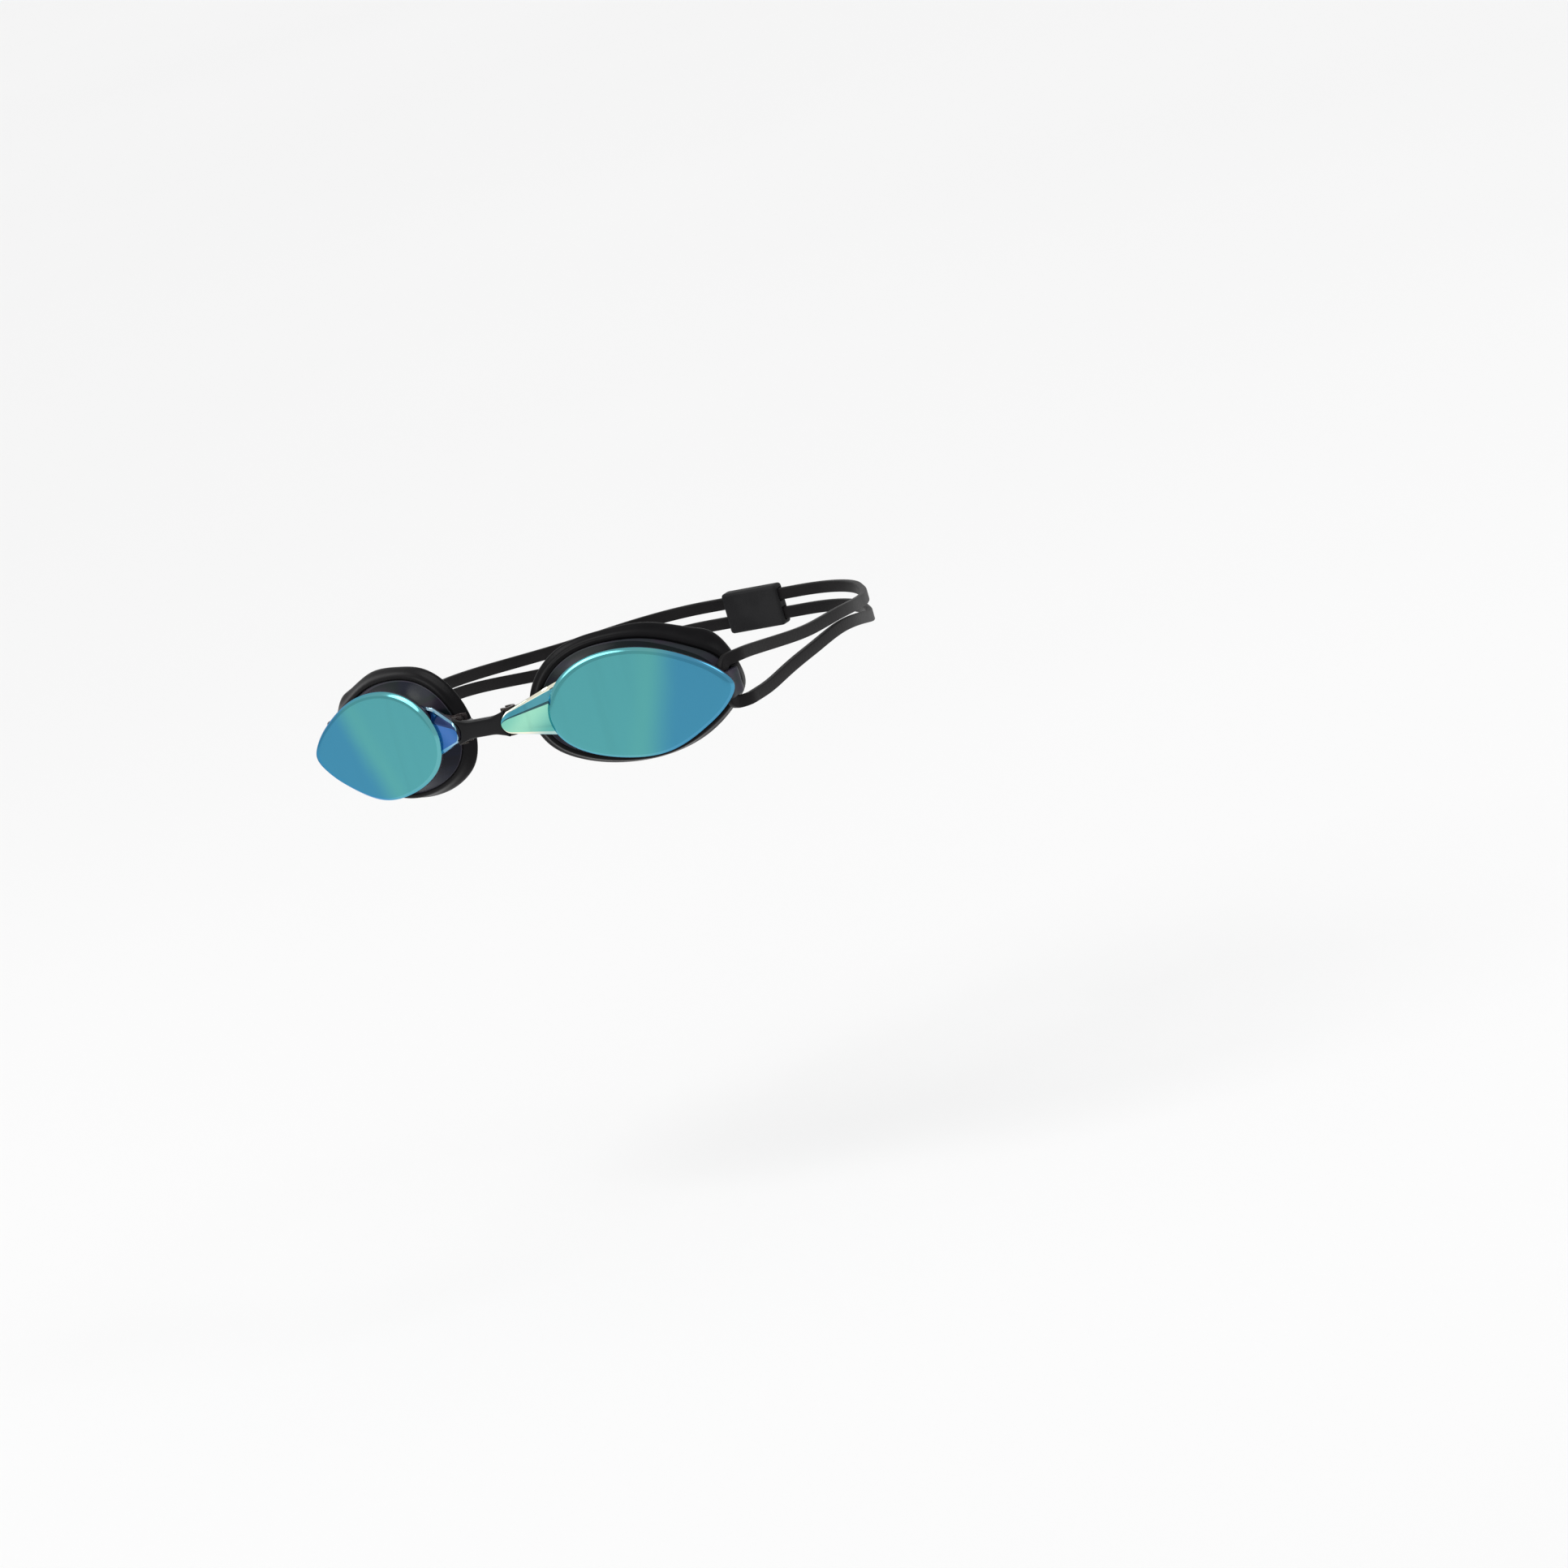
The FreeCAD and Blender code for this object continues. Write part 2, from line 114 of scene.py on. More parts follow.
class Finish:
    # one Principled material with a few helpers for its pattern

    def __init__(self, name, **sockets):
        self.material = bpy.data.materials.new(name)
        self.material.use_nodes = True
        self.tree = self.material.node_tree
        self.shader = self.tree.nodes["Principled BSDF"]
        for socket, value in sockets.items():
            self.shader.inputs[socket.replace("_", " ")].default_value = value
        self.coords = self.node("ShaderNodeTexCoord").outputs["Object"]

    def node(self, kind, **settings):
        made = self.tree.nodes.new(kind)
        for key, value in settings.items():
            setattr(made, key, value)
        return made

    def link(self, start, end):
        self.tree.links.new(start, end)
        return end

    def math(self, operation, a, b):
        made = self.node("ShaderNodeMath", operation=operation)
        for socket, value in zip(made.inputs, (a, b)):
            if hasattr(value, "links"):
                self.link(value, socket)
            else:
                socket.default_value = value
        return made.outputs[0]

    def stretched(self, scale):
        mapping = self.node("ShaderNodeMapping")
        mapping.inputs["Scale"].default_value = scale
        self.link(self.coords, mapping.inputs["Vector"])
        return mapping.outputs[0]

    def noise(self, scale, detail=3.0, vector=None):
        made = self.node("ShaderNodeTexNoise")
        made.inputs["Scale"].default_value = scale
        made.inputs["Detail"].default_value = detail
        self.link(vector or self.coords, made.inputs["Vector"])
        return made.outputs["Fac"]

    def ramp(self, factor, *stops):
        made = self.node("ShaderNodeValToRGB")
        made.color_ramp.interpolation = "EASE"
        while len(made.color_ramp.elements) < len(stops):
            made.color_ramp.elements.new(0.5)
        for element, (place, shade) in zip(made.color_ramp.elements, stops):
            element.position = place
            element.color = (*shade, 1)
        self.link(factor, made.inputs[0])
        return made.outputs[0]

    def between(self, factor, low, high):
        made = self.node("ShaderNodeMapRange")
        made.inputs["From Min"].default_value = low[0]
        made.inputs["From Max"].default_value = high[0]
        made.inputs["To Min"].default_value = low[1]
        made.inputs["To Max"].default_value = high[1]
        self.link(factor, made.inputs["Value"])
        return made.outputs[0]

    def mix(self, blend, amount, a, b):
        made = self.node("ShaderNodeMix", data_type="RGBA", blend_type=blend)
        made.inputs[0].default_value = 0
        for socket, value in ((made.inputs[0], amount), (made.inputs[6], a), (made.inputs[7], b)):
            if hasattr(value, "links"):
                self.link(value, socket)
            else:
                socket.default_value = value
        return made.outputs[2]

    def colour(self, value):
        self.link(value, self.shader.inputs["Base Color"])

    def rough(self, factor, low, high):
        self.link(self.between(factor, (0.3, low), (0.7, high)), self.shader.inputs["Roughness"])

    def bump(self, height, strength, distance):
        made = self.node("ShaderNodeBump")
        made.inputs["Strength"].default_value = strength
        made.inputs["Distance"].default_value = distance
        self.link(height, made.inputs["Height"])
        self.link(made.outputs[0], self.shader.inputs["Normal"])

    def axis(self, name):
        made = self.node("ShaderNodeSeparateXYZ")
        self.link(self.coords, made.inputs[0])
        return made.outputs[name]


# the coat's shades are painted by place: its turn from teal to blue towards the temple is a painted
# reflection, the coat's colour shift with viewing angle
coat = {
    "noseShade": (0.092, 0.392, 0.398),
    "middleShade": (0.085, 0.375, 0.400),
    "templePaintedReflection": (0.048, 0.265, 0.420),
    "tilt": -0.35,          # the turn's slant: lower down it begins nearer the nose
    "turnsFrom": 0.044,     # distance from the middle where the painted reflection begins to turn the coat blue, and where it has
    "turnsTo": 0.061,
    "roughness": (0.10, 0.17),
}
# the tabs' shades are painted by place: a bright diagonal from tip to root is a painted highlight over the
# coat's painted reflection turn
tabCoat = dict(coat, middleShade=(0.085, 0.360, 0.370), noseShade=(0.135, 0.440, 0.430),
               templePaintedReflection=(0.050, 0.280, 0.330), tilt=-0.9, turnsFrom=0.008, turnsTo=0.025)


def mirrorFinish(name, c, paintedLightScale=(1.0, 1.0, 1.0), streaks=0.11):
    f = Finish(name, Metallic=1.0, Specular_Tint=(0.30, 0.58, 0.95, 1), Coat_Weight=0.3,
               Coat_Roughness=0.06)
    # base colour painted by place across the lens, a painted reflection; paintedLightScale makes lighter or
    # darker copies of it for painted highlight and painted shade
    across = f.math("ADD", f.math("ABSOLUTE", f.axis("X"), 0.0), f.math("MULTIPLY", f.axis("Z"), c["tilt"]))
    place = f.between(across, (c["turnsFrom"], 0.0), (c["turnsTo"], 1.0))
    wavy = f.math("ADD", place, f.between(f.noise(26), (0.3, -0.10), (0.7, 0.10)))
    keys = ("middleShade", "noseShade", "templePaintedReflection")
    paintedLightShades = [tuple(a * b for a, b in zip(c[key], paintedLightScale)) for key in keys]
    shade = f.ramp(wavy, (0.0, paintedLightShades[0]), (0.35, paintedLightShades[1]), (1.0, paintedLightShades[2]))
    streak = f.noise(1.0, 2.0, f.stretched((300, 300, 10)))
    light = f.between(streak, (0.3, 1 - streaks), (0.7, 1 + streaks))
    f.colour(f.mix("MULTIPLY", 1.0, shade, f.ramp(light, (0.0, (0, 0, 0)), (1.0, (1, 1, 1)))))
    f.rough(f.noise(180), *c["roughness"])
    f.bump(f.noise(95, 2.0), 0.05, 0.0003)
    return f.material


def smokeFinish(name, shade, paintedReflectionTints, roughness=(0.18, 0.28), transmission=0.0):
    f = Finish(name, IOR=1.5, Specular_IOR_Level=0.12, Coat_Weight=0.04, Coat_Roughness=0.12,
               Transmission_Weight=transmission)
    # noise-placed tints over the smoke's own shade are painted reflections, a thin-film sheen
    paintedReflectionPattern = f.noise(1.0, 2.0, f.stretched((34, 60, 150)))
    stops = [(0.30 + 0.4 * n / len(paintedReflectionTints), tint) for n, tint in enumerate(paintedReflectionTints)]
    paintedReflection = f.ramp(paintedReflectionPattern, (0.2, shade), *stops, (0.8, shade))
    f.colour(f.mix("MIX", 0.6, (*shade, 1), paintedReflection))
    f.rough(f.noise(240), *roughness)
    f.bump(f.noise(700, 2.0), 0.05, 0.0002)
    return f.material


def rubberFinish(name, dark, light, roughness, grain, depth, sheen=0.02, shine=0.1):
    f = Finish(name, IOR=1.43, Specular_IOR_Level=shine, Sheen_Weight=sheen, Sheen_Roughness=0.4)
    cloud = f.noise(60, 4.0)
    specks = f.noise(1600, 2.0)
    body = f.ramp(cloud, (0.3, dark), (0.7, light))
    speckShade = (*[v * 2.2 for v in light], 1)
    f.colour(f.mix("MIX", f.between(specks, (0.68, 0.0), (0.76, 0.35)), body, speckShade))
    f.rough(cloud, *roughness)
    f.bump(f.noise(grain, 3.0), depth, 0.0003)
    return f.material


mirrorCoat = mirrorFinish("mirrorCoat", coat)
# a lighter copy of the coat for the plate's rim bevel, a painted highlight
mirrorRimPaintedHighlight = mirrorFinish("mirrorRimPaintedHighlight", coat, paintedLightScale=(1.5, 1.2, 1.2), streaks=0.03)
# lit lower facet, shaded upper facet, painted highlight rim and painted shade groove of each nose tab; the
# two tabs differ as a painted reflection of their viewing angle
tabPaintedLightCoats = {
    "left": [mirrorFinish("leftTab" + part, tabCoat, paintedLightScale, streaks) for part, paintedLightScale, streaks in (
        ("LowLit", (2.6, 1.75, 1.35), 0.25), ("HighShaded", (0.9, 1.05, 1.3), 0.4), ("RimPaintedHighlight", (9.0, 2.35, 1.9), 0.08),
        ("GroovePaintedShade", (0.3, 0.25, 0.3), 0.2))],
    "right": [mirrorFinish("rightTab" + part, tabCoat, paintedLightScale, streaks) for part, paintedLightScale, streaks in (
        ("LowLit", (0.6, 0.38, 1.05), 0.3), ("HighShaded", (0.05, 0.04, 0.20), 0.4), ("RimPaintedHighlight", (3.0, 1.4, 1.7), 0.1),
        ("GroovePaintedShade", (0.1, 0.05, 0.2), 0.2))],
}
smokeBody = smokeFinish("smokeBody", (0.004, 0.004, 0.008),
                        ((0.014, 0.008, 0.022), (0.005, 0.014, 0.013), (0.006, 0.009, 0.026)))
smokeEdge = smokeFinish("smokeEdge", (0.030, 0.026, 0.038),
                        ((0.050, 0.038, 0.062), (0.032, 0.046, 0.050), (0.042, 0.036, 0.058)))
# the pin hook takes the same painted reflection tints, in browns
hookBrown = smokeFinish("hookBrown", (0.040, 0.030, 0.027),
                        ((0.085, 0.062, 0.050), (0.045, 0.034, 0.040), (0.070, 0.054, 0.045)),
                        transmission=0.35)
# dark and light shade, roughness, grain, its depth, then sheen and shine
gasketSilicone = rubberFinish("gasketSilicone", (0.0035, 0.0035, 0.004), (0.007, 0.0065, 0.0075),
                              (0.26, 0.38), 900, 0.10, 0.02)
strapSilicone = rubberFinish("strapSilicone", (0.008, 0.0075, 0.008), (0.013, 0.012, 0.0125),
                             (0.40, 0.55), 1200, 0.2, 0.06)
bridgeBlack = rubberFinish("bridgeBlack", (0.003, 0.003, 0.0035), (0.006, 0.006, 0.007),
                           (0.16, 0.26), 500, 0.06, 0.0, 0.25)
clipBlack = rubberFinish("clipBlack", (0.012, 0.012, 0.013), (0.022, 0.022, 0.023),
                         (0.45, 0.6), 2600, 0.35, 0.0)
print("finishes made")

lens = {
    "length": 57.4,
    "height": 33.7,
    "thickness": 2.2,
    "wrap": math.radians(16.3),
    "place": (47.4, 11.6, -3.2),
    "lean": 0.05,
    "depth": 9.2,
}
teardrop = (
    (-1.00, 0.05), (-0.86, 0.60), (-0.52, 0.94), (-0.15, 1.00), (0.27, 0.85), (0.67, 0.50), (0.93, 0.13),
    (1.00, -0.10), (0.91, -0.36), (0.60, -0.72), (0.14, -1.00), (-0.32, -0.93), (-0.68, -0.70),
    (-0.92, -0.36),
)


def throughPoints(points, count, closed=True, knots=None):
    # a smooth cubic curve through points, sampled count times
    points = np.asarray(points, float)
    if knots is None:
        steps = np.linalg.norm(np.diff(np.vstack([points, points[:1]]), axis=0), axis=1)
        knots = np.concatenate([[0], np.cumsum(steps)])
    total = len(points)
    if not closed:
        knots = knots[:total]
    spans = np.diff(knots)
    matrix = np.zeros((total, total))
    right = np.zeros_like(points)
    for i in range(total):
        if closed:
            before, after, ahead = spans[i - 1], spans[i], (i + 1) % total
            matrix[i, i - 1] += before
            matrix[i, i] += 2 * (before + after)
            matrix[i, ahead] += after
            right[i] = 6 * ((points[ahead] - points[i]) / after - (points[i] - points[i - 1]) / before)
        elif i in (0, total - 1):
            matrix[i, i] = 1
        else:
            before, after = spans[i - 1], spans[i]
            matrix[i, i - 1:i + 2] = (before, 2 * (before + after), after)
            right[i] = 6 * ((points[i + 1] - points[i]) / after - (points[i] - points[i - 1]) / before)
    bends = np.linalg.solve(matrix, right)
    where = np.linspace(knots[0], knots[-1], count, endpoint=not closed)
    index = np.clip(np.searchsorted(knots, where, side="right") - 1, 0, len(spans) - 1)
    ahead = (index + 1) % total
    h = spans[index][:, None]
    a = (knots[index + 1] - where)[:, None]
    b = (where - knots[index])[:, None]
    return (bends[index] * a ** 3 + bends[ahead] * b ** 3) / (6 * h) \
        + (points[index] / h - bends[index] * h / 6) * a + (points[ahead] / h - bends[ahead] * h / 6) * b


rimCount = 192
drop = np.array(teardrop) * (lens["length"] / 2, lens["height"] / 2)
dropSteps = np.linalg.norm(np.diff(np.vstack([drop, drop[:1]]), axis=0), axis=1)
dropKnots = np.concatenate([[0], np.cumsum(dropSteps)])


def cupRing(depth, nose, temple, up, down, roundness):
    # the lens outline at a depth, grown at its ends, top and bottom; columns are along, depth, height
    points = []
    for u, v in teardrop:
        full = math.copysign(max(abs(v), math.sqrt(max(1 - u * u, 0))), v)
        points.append((u, v + (full - v) * roundness))
    half = lens["length"] / 2
    curve = throughPoints(np.array(points) * (half, lens["height"] / 2), rimCount, knots=dropKnots)
    u = (curve[:, 0] + half) * (1 + (nose + temple) / lens["length"]) - half - nose
    growth = np.where(curve[:, 1] > 0, up, down)
    v = curve[:, 1] * (1 + 2 * growth / lens["height"])
    lean = lens["lean"] * max(depth - lens["thickness"], 0) / (lens["depth"] - lens["thickness"])
    return np.stack([u, depth + lean * u, v], axis=1)


def onFace(points, side):
    # from the left lens's own axes to the goggles' frame, in metres; side -1 is the right-hand mirror image
    points = np.asarray(points, float)
    c, s = math.cos(lens["wrap"]), math.sin(lens["wrap"])
    x = lens["place"][0] + points[:, 0] * c - points[:, 1] * s
    y = lens["place"][1] + points[:, 0] * s + points[:, 1] * c
    z = lens["place"][2] + points[:, 2]
    return np.stack([x * side, y, z], axis=1) / 1000


def addPiece(name, points, faces, materials, faceMaterial=None, sharp=35):
    mesh = bpy.data.meshes.new(name)
    mesh.from_pydata([tuple(p) for p in points], [], faces)
    piece = bpy.data.objects.new(name, mesh)
    bpy.context.collection.objects.link(piece)
    for material in materials:
        mesh.materials.append(material)
    if faceMaterial is not None:
        mesh.polygons.foreach_set("material_index", faceMaterial)
    work = bmesh.new()
    work.from_mesh(mesh)
    bmesh.ops.remove_doubles(work, verts=work.verts, dist=1e-7)
    bmesh.ops.recalc_face_normals(work, faces=work.faces)
    work.to_mesh(mesh)
    work.free()
    mesh.shade_smooth()
    mesh.set_sharp_from_angle(angle=math.radians(sharp))
    return piece


def skin(rings, closedAlong=False, caps=True):
    # faces between rings of the same length, with a fan over each end
    count = len(rings[0])
    points = list(np.vstack(rings))
    faces, rows = [], []
    pairs = len(rings) if closedAlong else len(rings) - 1
    for row in range(pairs):
        low, high = row * count, (row + 1) % len(rings) * count
        for i in range(count):
            j = (i + 1) % count
            faces.append((low + i, low + j, high + j, high + i))
            rows.append(row)
    if caps and not closedAlong:
        for row, base in ((0, 0), (pairs, (len(rings) - 1) * count)):
            points.append(np.mean(rings[row], axis=0))
            for i in range(count):
                faces.append((base + i, base + (i + 1) % count, len(points) - 1))
                rows.append(row if row == 0 else pairs - 1)
    return points, faces, rows


def withModifier(piece, kind, **settings):
    # a modifier's result as the piece's own mesh
    modifier = piece.modifiers.new(kind, kind)
    for key, value in settings.items():
        setattr(modifier, key, value)
    shown = piece.evaluated_get(bpy.context.evaluated_depsgraph_get())
    mesh = bpy.data.meshes.new_from_object(shown)
    piece.modifiers.clear()
    piece.data = mesh
    return piece


def prism(plan, low, high):
    # an upright block over a plan of (x, y) points
    count = len(plan)
    points = [(x, y, z) for z in (low, high) for x, y in plan]
    faces = [tuple(range(count)), tuple(range(count, 2 * count))]
    faces += [(i, (i + 1) % count, count + (i + 1) % count, count + i) for i in range(count)]
    return points, faces


plate = {
    "dome": 0.22,
    "rimInset": 0.9,
    "rimDepth": 0.75,
    "edgeFrom": 1.0,
}


def addPlate(side, hand):
    face = []
    inner = cupRing(0, *(-plate["rimInset"],) * 4, 0.0)
    middle = np.array([-2.0, 0.0, 0.4])
    for share in (0.02, 0.2, 0.4, 0.6, 0.8, 0.93, 1.0):
        ring = middle + (inner - middle) * share
        ring[:, 1] = -plate["dome"] * (1 - share ** 2)
        face.append(ring)
    rim = [cupRing(depth, *(-inset,) * 4, 0.0) for inset, depth in (
        (plate["rimInset"] - 0.08, 0.07), (0.55, 0.30), (0.12, plate["rimDepth"] - 0.05),
        (0.0, plate["edgeFrom"]))]
    edge = [cupRing(depth, *(-inset,) * 4, 0.0) for inset, depth in (
        (0.12, plate["edgeFrom"] + 0.02), (0.14, 1.14), (0.02, 1.22), (0.0, 1.9), (0.25, lens["thickness"]),
        (1.6, lens["thickness"]), (8.0, lens["thickness"]))]
    rings = face + rim + edge
    points, faces, rows = skin(rings)
    # face rings take the coat, rim rings its painted highlight copy, edge rings the smoke edge
    index = [0 if row < len(face) - 1 else 1 if row < len(face) + len(rim) - 1 else 2 for row in rows]
    piece = addPiece(hand + "MirrorPlate", onFace(points, side), faces, [mirrorCoat, mirrorRimPaintedHighlight, smokeEdge],
                     index, 50)
    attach(piece, hand + "_cup")
    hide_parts(hand + "_lens")
    return piece


cupProfile = (
    # depth, then growth at nose, temple, top and bottom, and roundness
    (1.9, -1.9, -7.6, -2.6, -2.4, 0.10),
    (3.2, -1.2, -7.5, -2.2, -2.1, 0.12),
    (4.8, 0.2, -7.2, -1.3, -1.4, 0.18),
    (6.2, 1.9, -6.2, -0.1, -0.6, 0.24),
    (7.2, 3.2, -4.2, 1.1, 0.2, 0.28),
    (7.7, 4.0, -1.6, 1.9, 0.8, 0.30),
    (7.85, 4.3, -0.2, 2.2, 1.1, 0.30),
    (8.2, 4.4, 0.0, 2.3, 1.2, 0.30),
    (9.0, 4.4, 0.0, 2.3, 1.2, 0.30),
    (9.2, 4.2, -0.2, 2.1, 1.0, 0.30),
    (9.2, 1.6, -6.4, -0.6, -1.6, 0.30),
    (8.9, 1.1, -6.9, -1.1, -2.1, 0.30),
    (7.6, 0.9, -7.2, -1.4, -2.3, 0.28),
    (5.2, -1.6, -8.8, -3.0, -3.2, 0.18),
    (2.6, -3.2, -9.4, -4.0, -4.0, 0.10),
    (2.2, -3.6, -9.8, -4.4, -4.4, 0.10),
)


def addCup(side, hand):
    rings = [cupRing(*key) for key in cupProfile]
    points, faces, rows = skin(rings, closedAlong=True)
    index = [int(row == 4) for row in rows]     # a paler line round the flare, a painted highlight along the flange's edge
    piece = addPiece(hand + "SmokeCup", onFace(points, side), faces, [smokeBody, smokeEdge], index, 40)
    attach(piece, hand + "_cup")
    return piece


gasketProfile = (
    (7.80, 3.3, -1.2, 1.2, 0.1, 0.30),
    (7.45, 3.5, -1.0, 1.4, 0.3, 0.30),
    (7.18, 4.1, -0.4, 2.0, 0.9, 0.32),
    (7.35, 4.9, 0.4, 2.8, 1.7, 0.35),
    (8.00, 5.3, 0.7, 3.2, 2.0, 0.42),
    (9.00, 5.8, 0.75, 3.5, 2.2, 0.58),
    (9.90, 6.6, 0.75, 4.1, 2.5, 0.76),
    (10.7, 7.2, 0.7, 4.6, 2.7, 0.88),
    (11.3, 7.4, 0.6, 4.7, 2.7, 0.90),
    (11.9, 7.1, 0.2, 4.4, 2.4, 0.90),
    (12.25, 6.3, -0.6, 3.6, 1.6, 0.90),
    (12.2, 4.9, -2.0, 2.2, 0.2, 0.90),
    (11.9, 3.4, -3.5, 0.7, -1.3, 0.85),
    (11.4, 2.4, -4.6, -0.3, -2.3, 0.75),
    (10.6, 1.8, -5.6, -0.8, -2.6, 0.55),
    (9.8, 1.4, -6.4, -1.0, -2.2, 0.38),
    (9.28, 1.3, -6.7, -0.9, -1.9, 0.30),
    (9.24, 3.0, -3.0, 1.0, 0.0, 0.30),
    (9.24, 4.43, 0.03, 2.33, 1.23, 0.30),
    (8.4, 4.45, 0.05, 2.35, 1.25, 0.30),
    (7.82, 4.43, 0.03, 2.33, 1.23, 0.30),
)


def addGasket(side, hand):
    outerKeys = np.array(gasketProfile[:17])
    smooth = list(throughPoints(outerKeys, 46, closed=False)) + [np.array(key) for key in gasketProfile[17:]]
    rings = [cupRing(*key) for key in smooth]
    points, faces, rows = skin(rings, closedAlong=True)
    piece = addPiece(hand + "Gasket", onFace(points, side), faces, [gasketSilicone], None, 48)
    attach(piece, hand + "_cup")
    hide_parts(hand + "_gasket")
    return piece


tab = {
    "root": (-27.7, 0.9),        # along and depth, where its front face leaves the plate
    "turn": math.radians(16.7),  # in plan, from the plate's own face
    "reach": 14.4,
    "tipRadius": 3.7,
    "rise": 3.2,
    "rootUp": 8.0,
    "rootDown": 8.7,
    "thickness": 1.8,
    "ridge": 0.42,               # share of the half height above the middle line
    "facetDrop": 1.0,            # top edge behind the ridge, at the root
    "scoop": 0.35,
}


def tabHeights(u, tipU):
    # top and bottom of the tab at a place along it
    centre = tipU + tab["tipRadius"]
    rootU = -lens["length"] / 2 + 5.0
    heights = []
    for way, rise in ((1, tab["rootUp"]), (-1, tab["rootDown"])):
        span = math.hypot(rootU - centre, rise)
        slope = math.atan2(rise, rootU - centre) - math.asin(tab["tipRadius"] / span)
        touch = centre - tab["tipRadius"] * math.sin(slope)
        if u < touch:
            high = math.sqrt(max(tab["tipRadius"] ** 2 - (u - centre) ** 2, 0))
        else:
            high = tab["tipRadius"] * math.cos(slope) + (u - touch) * math.tan(slope)
        heights.append(tab["rise"] + way * high)
    return heights


def addTab(side, hand):
    rootU, rootDepth = tab["root"]
    c = math.cos(tab["turn"])
    tipU = rootU - tab["reach"]
    # share of the half height, then how far each row is let back
    rows = (-1.0, -0.965, -0.91, -0.84, -0.6, -0.3, 0.0, 0.25, 0.36, 0.42, 0.47, 0.62, 0.78, 0.84, 0.88,
            0.95, 1.0)
    relief = (0.75, 0.22, 0.04, 0.0, 0.6, 1.0, 0.8, 0.35, 0.05, 0.0, 0.05, 0.5, 0.95, 1.0, 0.8, 0.7, 1.0)
    front, back = [], []
    shares = [1 - math.sin(t) for t in np.linspace(0.0, math.pi / 2, 28)]
    for share in shares:
        u = tipU + 0.02 + (rootU + 4.0 - tipU) * share
        high, low = tabHeights(u, tipU)
        depth = rootDepth + (u - rootU) * (math.tan(tab["turn"]) if u < rootU else 0.05)
        behind = depth + tab["thickness"] / c
        if u > rootU:
            behind = min(behind, lens["thickness"] - 0.05)     # tucked inside the plate
        grow = min(max((u - tipU - 1.2) / 12.0, 0), 1)
        for q, r in zip(rows, relief):
            v = (high + low) / 2 + q * (high - low) / 2
            if q < -0.84:
                recess = 0.55 * r
            elif q < tab["ridge"]:
                recess = tab["scoop"] * r * grow
            elif q < 0.86:
                recess = tab["facetDrop"] * r * grow
            else:
                recess = tab["facetDrop"] * r * grow + 0.5 * (q - 0.86) / 0.14
            front.append((u, min(depth + recess, behind - 0.1), v))
            back.append((u, behind, v))
    points = front + back
    wide, tall = len(shares), len(rows)
    # bands pick each tab's coat: lower facet lit, upper facet shaded, top and bottom rims painted highlight,
    # the ridge line painted shade
    bands = [2 if q < -0.86 or q > 0.85 else 3 if 0.38 < q < 0.46 else 1 if q > 0.46 else 0
             for q in (np.array(rows[1:]) + rows[:-1]) / 2]
    faces, index = [], []
    for i in range(wide - 1):
        for j in range(tall - 1):
            a, b = i * tall + j, (i + 1) * tall + j
            faces.append((a, a + 1, b + 1, b))
            index.append(bands[j])
            shift = wide * tall
            faces.append((a + shift, b + shift, b + shift + 1, a + shift + 1))
            index.append(4)
    ring = [j for j in range(tall)] + [i * tall + tall - 1 for i in range(1, wide)]
    ring += [(wide - 1) * tall + j for j in range(tall - 2, -1, -1)]
    ring += [i * tall for i in range(wide - 2, 0, -1)]
    for k, a in enumerate(ring):
        b = ring[(k + 1) % len(ring)]
        faces.append((a, b, b + wide * tall, a + wide * tall))
        index.append(4)
    piece = addPiece(hand + "NoseTab", onFace(points, side), faces, [*tabPaintedLightCoats[hand], smokeEdge], index, 28)
    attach(piece, hand + "_cup")
    return piece


hook = {
    "pin": (8.68, 1.44),       # in the goggles' frame
    "bore": 1.15,
    "outer": 2.3,
    "low": -4.2,
    "high": 4.4,
    "opens": math.radians(180),  # the mouth faces the nose
    "mouth": math.radians(78),
}


def addHook(side, hand):
    x, y = hook["pin"]
    opens, mouth = hook["opens"], hook["mouth"]
    sweep = np.linspace(opens + mouth / 2, opens + 2 * math.pi - mouth / 2, 40)
    outer = [(x + hook["outer"] * math.cos(a), y + hook["outer"] * math.sin(a)) for a in sweep]
    inner = [(x + hook["bore"] * math.cos(a), y + hook["bore"] * math.sin(a)) for a in reversed(sweep)]
    points, faces = prism(outer + inner, hook["low"], hook["high"])
    start = len(points)
    web = [(x + 1.6, y - 0.9), (x + 8.5, y + 4.2), (x + 8.0, y + 5.6), (x + 1.6, y + 0.8)]
    more, moreFaces = prism(web, hook["low"] + 0.3, hook["high"] - 0.3)
    points += more
    faces += [tuple(i + start for i in face) for face in moreFaces]
    points = np.array(points) * (side / 1000, 0.001, 0.001)
    piece = addPiece(hand + "PinHook", points, faces, [hookBrown])
    withModifier(piece, "BEVEL", width=0.00022, segments=2, limit_method="ANGLE",
                 angle_limit=math.radians(50))
    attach(piece, hand + "_cup")
    return piece


post = {
    "low": -6.0,
    "high": 2.0,
    # along and depth of its plan, in the lens's own axes
    "plan": ((25.0, 1.6), (26.4, 1.5), (27.6, 3.4), (28.5, 5.8), (29.0, 8.6), (28.0, 9.0), (27.2, 6.8),
             (26.3, 4.4)),
    # share of the half height and of the plan's width, up to its middle
    "rounding": ((-1.0, 0.55), (-0.97, 0.8), (-0.9, 0.93), (-0.6, 1.0)),
}


